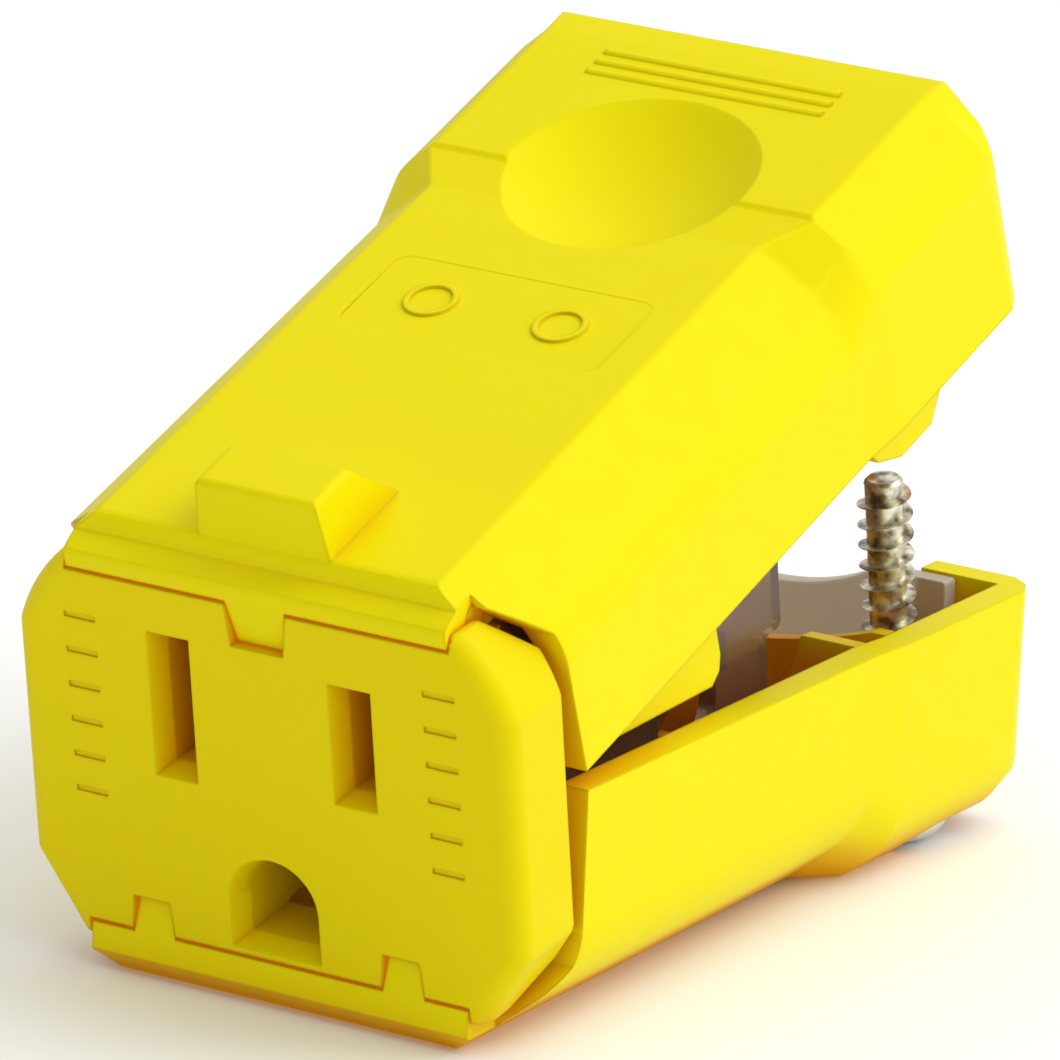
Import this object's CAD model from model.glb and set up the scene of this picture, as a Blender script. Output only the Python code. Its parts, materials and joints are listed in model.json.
import json
import math

import bmesh
import bpy
from mathutils import Matrix, Vector


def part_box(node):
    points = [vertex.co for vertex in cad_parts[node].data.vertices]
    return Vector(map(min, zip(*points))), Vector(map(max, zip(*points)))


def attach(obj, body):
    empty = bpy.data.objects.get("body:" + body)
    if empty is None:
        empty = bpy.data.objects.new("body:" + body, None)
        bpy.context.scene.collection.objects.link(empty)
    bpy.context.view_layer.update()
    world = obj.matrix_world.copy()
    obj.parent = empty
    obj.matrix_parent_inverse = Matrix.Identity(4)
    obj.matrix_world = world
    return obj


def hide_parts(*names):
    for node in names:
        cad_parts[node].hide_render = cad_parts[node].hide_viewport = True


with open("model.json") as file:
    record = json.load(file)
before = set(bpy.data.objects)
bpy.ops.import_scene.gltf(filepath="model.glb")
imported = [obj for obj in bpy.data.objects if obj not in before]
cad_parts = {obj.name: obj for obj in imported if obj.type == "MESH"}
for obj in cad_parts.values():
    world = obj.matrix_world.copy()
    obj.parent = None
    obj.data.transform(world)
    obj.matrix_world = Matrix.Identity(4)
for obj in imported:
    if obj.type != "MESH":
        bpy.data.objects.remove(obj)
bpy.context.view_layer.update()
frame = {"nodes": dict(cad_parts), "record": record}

MM = 0.001

# ---------------------------------------------------------------- camera
CAMERA_AZIMUTH = 31.28      # degrees from the outlet side towards +X
CAMERA_ELEVATION = 16.55
CAMERA_ROLL = 2.32
CAMERA_DISTANCE = 623.6 * MM
CAMERA_LENS = 346.4         # mm on a 36 mm sensor
AIM = Vector((-0.32, -0.40, 23.68)) * MM

# ---------------------------------------------------------------- light and floor
SKY_LEVEL = 0.58            # even part of the surrounding light
SKY_SLOPE = Vector((0.36, 0.29, 0.55))  # brighter towards +X, +Y and up
KEY_POWER = 2.2
KEY_PLACE = (0.55, 0.25, 0.7)
KEY_SIZE = (0.5, 0.5)
FLOOR_HALF = 6.0
FLOOR_LOW = (0.93, 0.93, 0.93)
FLOOR_HIGH = (0.95, 0.95, 0.95)

# ---------------------------------------------------------------- assembly screws
SCREW_CORE = 1.22 * MM
SCREW_CREST = 1.76 * MM
SCREW_PITCH = 1.4 * MM
SCREW_TIP = 22.35 * MM      # above the seat
SCREW_TIP_CHAMFER = 0.2 * MM
THREAD_ROOT = 0.14 * MM     # half the thread's thickness at the core
THREAD_EDGE = 0.03 * MM
THREAD_STEPS = 40           # faces in one turn
THREAD_START = 3.2 * MM     # above the seat
HEAD_TOP = -0.62 * MM
HEAD_RADIUS = 3.2 * MM
HEAD_HEIGHT = 1.4 * MM
HEAD_RIM = 0.2 * MM         # bevel round the head's upper edge
HEAD_SIDE = 0.3             # share of the head's height before its dome begins
HEAD_TAPER = 0.45           # share of the radius that the dome draws in
DOME_STEPS = 8
RECESS_WIDTH = 0.9 * MM
RECESS_LENGTH = 3.4 * MM
RECESS_DEPTH = 0.9 * MM
LATHE_STEPS = 64
SCREW_SHARP = 35.0          # degrees between faces that keep a sharp edge
PLATED_BELOW = -0.4 * MM    # bright plating starts here, below the seat
RUST_BELOW = 14.5 * MM      # rust grows from here down
RUST_ABOVE = 20.6 * MM      # and from here up to the tip

# ---------------------------------------------------------------- softened edges of the moulded pieces
EDGE_ROUND = {"upper_shell": 0.22 * MM, "lower_shell": 0.22 * MM, "face_block": 0.18 * MM,
              "contact_carrier": 0.12 * MM, "upper_cord_seal": 0.2 * MM, "lower_cord_seal": 0.2 * MM}
EDGE_ANGLE = 28.0
SOFT_EDGE = 0.3 * MM
EDGE_SEGMENTS = 2
WELD_REACH = 0.001 * MM

# ---------------------------------------------------------------- yellow plastic
SHELL_YELLOW = ((0.85, 0.72, 0.0), (0.83, 0.74, 0.0))
FACE_YELLOW = ((0.82, 0.66, 0.0), (0.80, 0.68, 0.0))
SHADE_REACH = 5 * MM
SHADE_ORANGE = (0.78, 0.36, 0.002)
HOLLOW_ORANGE = (0.86, 0.36, 0.02)
GLOW_REACH = 0.8 * MM
GLOW_ORANGE = (1.0, 0.50, 0.01, 1.0)
NARROW_GLOW = 0.22          # light that the plastic lets through into its narrowest gaps
CORNER_RISE = 2.2 * MM      # height of that line above the underside, at CORNER_START
CORNER_SLOPE = 1.15         # rise over run of a line just inside the lower shell's cut corners
CORNER_START = 11.0 * MM
OWN_PAINT = {"lower_shell": "hollow_shell"}  # nodes that don't wear their slot's plain paint


# ================================================================ helpers
def new_object(name, mesh):
    obj = bpy.data.objects.new(name, mesh)
    bpy.context.scene.collection.objects.link(obj)
    return obj


def mesh_from(shape, name):
    """Turn a bmesh into a mesh with outward normals."""
    bmesh.ops.remove_doubles(shape, verts=shape.verts, dist=1e-7)
    bmesh.ops.recalc_face_normals(shape, faces=shape.faces)
    mesh = bpy.data.meshes.new(name)
    shape.to_mesh(mesh)
    shape.free()
    return mesh


def lathe(shape, profile, steps):
    """Spin a list of (radius, height) points about Z into a closed solid."""
    verts = [shape.verts.new((radius, 0, height)) for radius, height in profile]
    edges = [shape.edges.new(pair) for pair in zip(verts, verts[1:])]
    bmesh.ops.spin(shape, geom=verts + edges, cent=(0, 0, 0), axis=(0, 0, 1),
                   angle=math.tau, steps=steps, use_merge=True)


def screw_place(side):
    """Matrix that puts +Z on one assembly screw's axis, with Z = 0 at its seat."""
    joints = {joint["name"]: joint for joint in frame["record"]["behaviour"]["joints"]}
    turn = joints["screw_turn_" + side]
    axis = Vector(turn["axis"])
    turned = axis.to_track_quat("Z", "X").to_matrix().to_4x4()
    return Matrix.Translation(Vector(turn["pos_m"])) @ turned


# ================================================================ materials
class Paint:
    """A material whose nodes are added one call at a time."""

    def __init__(self, name):
        self.material = bpy.data.materials.new(name)
        self.material.use_nodes = True
        self.tree = self.material.node_tree
        self.shader = self.tree.nodes["Principled BSDF"]
        self.place = self.add("ShaderNodeTexCoord").outputs["Object"]

    def add(self, kind, **values):
        node = self.tree.nodes.new(kind)
        for key, value in values.items():
            setattr(node, key, value)
        return node

    def put(self, socket, value):
        if isinstance(value, bpy.types.NodeSocket):
            self.tree.links.new(value, socket)
        else:
            socket.default_value = value

    def set(self, **values):
        for key, value in values.items():
            self.put(self.shader.inputs[key.replace("_", " ")], value)

    def noise(self, scale, detail=3.0, stretch=None):
        node = self.add("ShaderNodeTexNoise")
        vector = self.place
        if stretch:
            scaled = self.add("ShaderNodeVectorMath", operation="MULTIPLY")
            self.put(scaled.inputs[0], vector)
            scaled.inputs[1].default_value = stretch
            vector = scaled.outputs["Vector"]
        self.put(node.inputs["Vector"], vector)
        node.inputs["Scale"].default_value = scale
        node.inputs["Detail"].default_value = detail
        return node.outputs["Fac"]

    def attribute(self, name):
        return self.add("ShaderNodeAttribute", attribute_name=name).outputs["Fac"]

    def fit(self, value, low, high, to_low=0.0, to_high=1.0):
        node = self.add("ShaderNodeMapRange")
        for index, item in enumerate((value, low, high, to_low, to_high)):
            self.put(node.inputs[index], item)
        return node.outputs["Result"]

    def maths(self, operation, first, second):
        node = self.add("ShaderNodeMath", operation=operation)
        self.put(node.inputs[0], first)
        self.put(node.inputs[1], second)
        return node.outputs["Value"]

    def mix(self, factor, first, second):
        node = self.add("ShaderNodeMix", data_type="RGBA")
        self.put(node.inputs["Factor"], factor)
        for socket, colour in ((node.inputs["A"], first), (node.inputs["B"], second)):
            self.put(socket, colour if isinstance(colour, bpy.types.NodeSocket) else (*colour, 1.0))
        return node.outputs["Result"]

    def shelter(self, reach):
        node = self.add("ShaderNodeAmbientOcclusion", samples=6)
        node.inputs["Distance"].default_value = reach
        return node.outputs["AO"]

    def bump(self, height, strength, distance, soft_edge=0.0):
        node = self.add("ShaderNodeBump")
        self.put(node.inputs["Height"], height)
        if soft_edge:
            rounded = self.add("ShaderNodeBevel", samples=4)
            rounded.inputs["Radius"].default_value = soft_edge
            self.put(node.inputs["Normal"], rounded.outputs["Normal"])
        node.inputs["Strength"].default_value = strength
        node.inputs["Distance"].default_value = distance
        self.put(self.shader.inputs["Normal"], node.outputs["Normal"])


def hollow(paint, node):
    """1 deep inside the lower shell, 0 on its outside and along its rim."""
    low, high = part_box(node)
    split = paint.add("ShaderNodeSeparateXYZ")
    paint.put(split.inputs[0], paint.place)
    across = paint.maths("ABSOLUTE", split.outputs["X"], 0.0)
    rise = paint.maths("MULTIPLY", across, CORNER_SLOPE)
    cut_corner = paint.maths("SUBTRACT", split.outputs["Z"], rise)
    corner_line = low[2] + CORNER_RISE - CORNER_SLOPE * CORNER_START
    limits = [(across, high[0] - 1.2 * MM, high[0] - 1.7 * MM),
              (split.outputs["Z"], high[2] - 0.7 * MM, high[2] - 2.8 * MM),
              (split.outputs["Z"], low[2] + 1.4 * MM, low[2] + 1.9 * MM),
              (cut_corner, corner_line, corner_line + 0.5 * MM),
              (split.outputs["Y"], high[1] - 0.9 * MM, high[1] - 1.4 * MM),
              (split.outputs["Y"], low[1] + 3.0 * MM, low[1] + 4.0 * MM)]
    inside = 1.0
    for value, edge, full in limits:
        inside = paint.maths("MULTIPLY", inside, paint.fit(value, edge, full))
    return inside


def yellow_plastic(name, shade, light, hollow_node=None):
    """Moulded plastic: faint mottling, deep orange where light only comes in sideways, fine grain."""
    paint = Paint(name)
    mottle = paint.noise(90.0, 4.0)
    colour = paint.mix(mottle, shade, light)
    open_sky = paint.fit(paint.shelter(SHADE_REACH), 0.15, 0.8)
    colour = paint.mix(open_sky, SHADE_ORANGE, colour)
    if hollow_node:
        colour = paint.mix(hollow(paint, hollow_node), colour, HOLLOW_ORANGE)
    paint.set(Base_Color=colour,
              Roughness=paint.fit(paint.noise(420.0), 0.3, 0.7, 0.40, 0.50),
              Specular_IOR_Level=0.07, Emission_Color=GLOW_ORANGE,
              Emission_Strength=paint.fit(paint.shelter(GLOW_REACH), 0.30, 0.04, 0.0, NARROW_GLOW))
    paint.bump(paint.noise(3200.0, 2.0), 0.10, 0.02 * MM, SOFT_EDGE)
    return paint.material


def smoked_plastic(name):
    paint = Paint(name)
    cloud = paint.noise(60.0)
    paint.set(Base_Color=paint.mix(cloud, (0.34, 0.20, 0.12), (0.46, 0.31, 0.21)),
              Roughness=paint.fit(paint.noise(300.0), 0.3, 0.7, 0.10, 0.22),
              Transmission_Weight=0.82, IOR=1.35, Specular_IOR_Level=0.5)
    return paint.material


def seal_plastic(name):
    paint = Paint(name)
    cloud = paint.noise(45.0, 4.0)
    paint.set(Base_Color=paint.mix(cloud, (0.62, 0.56, 0.42), (0.78, 0.74, 0.62)),
              Roughness=paint.fit(paint.noise(200.0), 0.3, 0.7, 0.30, 0.45),
              Transmission_Weight=0.45, IOR=1.4)
    paint.bump(paint.noise(700.0), 0.15, 0.05 * MM)
    return paint.material


def plated(name, dark, light, roughness, grain=(1.0, 1.0, 1.0)):
    """Bright metal with cloudy wear and short scratches along one way."""
    paint = Paint(name)
    wear = paint.noise(500.0, 5.0)
    scratches = paint.noise(1400.0, 2.0, grain)
    paint.set(Base_Color=paint.mix(wear, dark, light), Metallic=1.0,
              Roughness=paint.fit(paint.maths("MULTIPLY", wear, scratches), 0.1, 0.5,
                                  roughness - 0.08, roughness + 0.14))
    paint.bump(scratches, 0.12, 0.02 * MM)
    return paint.material


def worn_screw(name):
    """Dull yellow-passivated steel, bright towards the head, with rust between the threads."""
    paint = Paint(name)
    along = paint.attribute("along")
    wear = paint.noise(900.0, 5.0)
    metal = paint.mix(paint.fit(wear, 0.38, 0.60), (0.16, 0.12, 0.06), (0.86, 0.83, 0.68))
    bright = paint.fit(along, PLATED_BELOW, PLATED_BELOW - 0.3 * MM)
    metal = paint.mix(bright, metal, (0.72, 0.72, 0.68))
    blotch = paint.fit(paint.noise(420.0, 4.0), 0.52, 0.66)
    near_low = paint.fit(along, RUST_BELOW, RUST_BELOW - 3.0 * MM)
    near_tip = paint.fit(along, RUST_ABOVE, RUST_ABOVE + 1.4 * MM)
    rusty = paint.maths("ADD", paint.maths("MAXIMUM", near_low, near_tip), 0.12)
    rust = paint.maths("MULTIPLY", blotch, rusty)
    rust = paint.maths("MULTIPLY", rust, paint.fit(along, PLATED_BELOW, -PLATED_BELOW))
    paint.set(Base_Color=paint.mix(rust, metal, (0.42, 0.14, 0.025)),
              Metallic=paint.fit(rust, 0.0, 1.0, 0.9, 0.15),
              Roughness=paint.fit(rust, 0.0, 1.0, 0.34, 0.75))
    paint.bump(wear, 0.3, 0.04 * MM)
    return paint.material


def grey_fibre(name):
    paint = Paint(name)
    paint.set(Base_Color=paint.mix(paint.noise(800.0), (0.20, 0.19, 0.17), (0.30, 0.29, 0.27)),
              Roughness=paint.fit(paint.noise(500.0), 0.3, 0.7, 0.6, 0.8))
    return paint.material


materials = {
    "yellow_shell": yellow_plastic("yellow_shell", *SHELL_YELLOW),
    "hollow_shell": yellow_plastic("hollow_shell", *SHELL_YELLOW, "lower_shell"),
    "yellow_face": yellow_plastic("yellow_face", *FACE_YELLOW),
    "clear_carrier": smoked_plastic("clear_carrier"),
    "clear_seal": seal_plastic("clear_seal"),
    "contact_brass": plated("contact_brass", (0.52, 0.34, 0.12), (0.82, 0.62, 0.30), 0.30,
                            grain=(6.0, 1.0, 1.0)),
    "steel_zinc": plated("steel_zinc", (0.48, 0.48, 0.46), (0.74, 0.74, 0.72), 0.28),
    "screw_steel": worn_screw("screw_steel"),
    "green_screw": plated("green_screw", (0.03, 0.16, 0.05), (0.12, 0.40, 0.16), 0.34),
    "grey_fibre": grey_fibre("grey_fibre"),
}


# ================================================================ CAD pieces
slot_of = {part["node"]: part["material_slot"] for part in frame["record"]["subparts"]}
for node, obj in frame["nodes"].items():
    obj.data.materials.clear()
    obj.data.materials.append(materials[OWN_PAINT.get(node, slot_of[node])])
    if node in EDGE_ROUND:
        weld = obj.modifiers.new("weld", "WELD")
        weld.merge_threshold = WELD_REACH
        rounding = obj.modifiers.new("edges", "BEVEL")
        rounding.width = EDGE_ROUND[node]
        rounding.segments = EDGE_SEGMENTS
        rounding.limit_method = "ANGLE"
        rounding.angle_limit = math.radians(EDGE_ANGLE)
        rounding.harden_normals = False
        rounding.use_clamp_overlap = True
        shading = obj.modifiers.new("shading", "WEIGHTED_NORMAL")
        shading.mode = "FACE_AREA"
        shading.weight = 50
        shading.keep_sharp = True


# ================================================================ assembly screws
def screw_body():
    """Core and pan head on one axis, seat at Z = 0, head below."""
    shape = bmesh.new()
    dome = []
    for index in range(DOME_STEPS + 1):
        angle = math.radians(90 * index / DOME_STEPS)
        radius = HEAD_RADIUS * (1 - HEAD_TAPER * (1 - math.cos(angle)))
        drop = HEAD_HEIGHT * (HEAD_SIDE + (1 - HEAD_SIDE) * math.sin(angle))
        dome.append((radius if index < DOME_STEPS else 0.0, HEAD_TOP - drop))
    profile = [(0.0, SCREW_TIP), (SCREW_CORE - SCREW_TIP_CHAMFER, SCREW_TIP),
               (SCREW_CORE, SCREW_TIP - SCREW_TIP_CHAMFER), (SCREW_CORE, HEAD_TOP),
               (HEAD_RADIUS - HEAD_RIM, HEAD_TOP), (HEAD_RADIUS, HEAD_TOP - HEAD_RIM)] + dome
    lathe(shape, profile, LATHE_STEPS)
    return mesh_from(shape, "screw_body")


def thread_ridge():
    """One helical ridge round the core, faded into it at both ends."""
    shape = bmesh.new()
    root = SCREW_CORE - 0.06 * MM
    corners = [(root, -THREAD_ROOT), (SCREW_CREST, -THREAD_EDGE), (SCREW_CREST, THREAD_EDGE),
               (root, THREAD_ROOT)]
    low = THREAD_START + THREAD_ROOT
    high = SCREW_TIP - SCREW_TIP_CHAMFER - THREAD_ROOT
    turns = (high - low) / SCREW_PITCH
    steps = int(turns * THREAD_STEPS)
    verts = [shape.verts.new((radius, 0, low + height)) for radius, height in corners]
    start = shape.faces.new(verts)
    swept = bmesh.ops.spin(shape, geom=verts + list(start.edges), cent=(0, 0, 0), axis=(0, 0, 1),
                           dvec=(0, 0, (high - low) / steps), angle=math.tau * turns, steps=steps)
    end = [item for item in swept["geom_last"] if isinstance(item, bmesh.types.BMVert)]
    bmesh.ops.contextual_create(shape, geom=end)
    for vert in shape.verts:
        rise = vert.co.z - low
        fade = min(1.0, max(0.0, (rise + THREAD_ROOT) / (0.5 * SCREW_PITCH)),
                   max(0.0, (high - low - rise + THREAD_ROOT) / (0.7 * SCREW_PITCH)))
        reach = Vector((vert.co.x, vert.co.y)).length
        if reach > SCREW_CORE:
            shrunk = root + (reach - root) * fade
            vert.co.x *= shrunk / reach
            vert.co.y *= shrunk / reach
    return mesh_from(shape, "thread_ridge")


def cut_recess(obj):
    """Cut a cross recess into the underside of the head."""
    shape = bmesh.new()
    bottom = HEAD_TOP - HEAD_HEIGHT
    for length, width in ((RECESS_LENGTH, RECESS_WIDTH), (RECESS_WIDTH, RECESS_LENGTH)):
        arm = Matrix.Diagonal((length, width, 2 * RECESS_DEPTH, 1))
        bmesh.ops.create_cube(shape, size=1.0, matrix=Matrix.Translation((0, 0, bottom)) @ arm)
    cutter = new_object("recess_cutter", mesh_from(shape, "recess_cutter"))
    cut = obj.modifiers.new("recess", "BOOLEAN")
    cut.operation = "DIFFERENCE"
    cut.object = cutter
    cut.use_self = True
    done = obj.evaluated_get(bpy.context.evaluated_depsgraph_get())
    mesh = bpy.data.meshes.new_from_object(done)
    obj.modifiers.clear()
    obj.data = mesh
    bpy.data.objects.remove(cutter)


def assembly_screw(side):
    """Core and thread of one screw on its axis; "along" keeps each point's height for the paint."""
    place = screw_place(side)
    made = (("screw_core_" + side, screw_body()), ("screw_thread_" + side, thread_ridge()))
    for name, mesh in made:
        obj = new_object(name, mesh)
        if name.startswith("screw_core"):
            cut_recess(obj)
        heights = [vert.co.z for vert in obj.data.vertices]
        obj.data.transform(place)
        along = obj.data.attributes.new("along", "FLOAT", "POINT")
        along.data.foreach_set("value", heights)
        for face in obj.data.polygons:
            face.use_smooth = True
        obj.data.set_sharp_from_angle(angle=math.radians(SCREW_SHARP))
        obj.data.materials.clear()
        obj.data.materials.append(materials["screw_steel"])
        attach(obj, "screw_" + side)
        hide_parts("assembly_screw_" + side)


for side in ("right", "left"):
    assembly_screw(side)


# ================================================================ floor, light and camera
def floor():
    shape = bmesh.new()
    bmesh.ops.create_grid(shape, x_segments=1, y_segments=1, size=FLOOR_HALF)
    obj = new_object("floor", mesh_from(shape, "floor"))
    paint = Paint("floor")
    paint.set(Base_Color=paint.mix(paint.noise(3.0), FLOOR_LOW, FLOOR_HIGH), Roughness=0.9,
              Specular_IOR_Level=0.0)
    obj.data.materials.append(paint.material)


def area_light(name, place, size, power):
    light = bpy.data.lights.new(name, "AREA")
    light.shape = "RECTANGLE"
    light.size = size[0]
    light.size_y = size[1]
    light.energy = power
    obj = bpy.data.objects.new(name, light)
    obj.location = place
    obj.rotation_euler = (AIM - Vector(place)).to_track_quat("-Z", "Y").to_euler()
    bpy.context.scene.collection.objects.link(obj)


def sky():
    """Even white surroundings, brighter towards the cord end, the right and above."""
    world = bpy.data.worlds.new("sky")
    world.use_nodes = True
    tree = world.node_tree
    way = tree.nodes.new("ShaderNodeTexCoord")
    slope = tree.nodes.new("ShaderNodeVectorMath")
    slope.operation = "DOT_PRODUCT"
    slope.inputs[1].default_value = SKY_SLOPE
    tree.links.new(way.outputs["Generated"], slope.inputs[0])
    level = tree.nodes.new("ShaderNodeMath")
    level.operation = "ADD"
    level.inputs[1].default_value = SKY_LEVEL
    tree.links.new(slope.outputs["Value"], level.inputs[0])
    back = tree.nodes["Background"]
    back.inputs["Color"].default_value = (1, 1, 1, 1)
    tree.links.new(level.outputs["Value"], back.inputs["Strength"])
    bpy.context.scene.world = world


def camera():
    azimuth = math.radians(CAMERA_AZIMUTH)
    elevation = math.radians(CAMERA_ELEVATION)
    away = Vector((math.sin(azimuth) * math.cos(elevation), -math.cos(azimuth) * math.cos(elevation),
                   math.sin(elevation)))
    data = bpy.data.cameras.new("camera")
    data.lens = CAMERA_LENS
    data.sensor_width = 36.0
    data.clip_start = 0.01
    obj = bpy.data.objects.new("camera", data)
    bpy.context.scene.collection.objects.link(obj)
    turn = (-away).to_track_quat("-Z", "Y").to_matrix().to_4x4()
    roll = Matrix.Rotation(math.radians(CAMERA_ROLL), 4, "Z")
    obj.matrix_world = Matrix.Translation(AIM + away * CAMERA_DISTANCE) @ turn @ roll
    bpy.context.scene.camera = obj


floor()
sky()
area_light("key", KEY_PLACE, KEY_SIZE, KEY_POWER)
bpy.context.scene.view_settings.view_transform = "Standard"
camera()
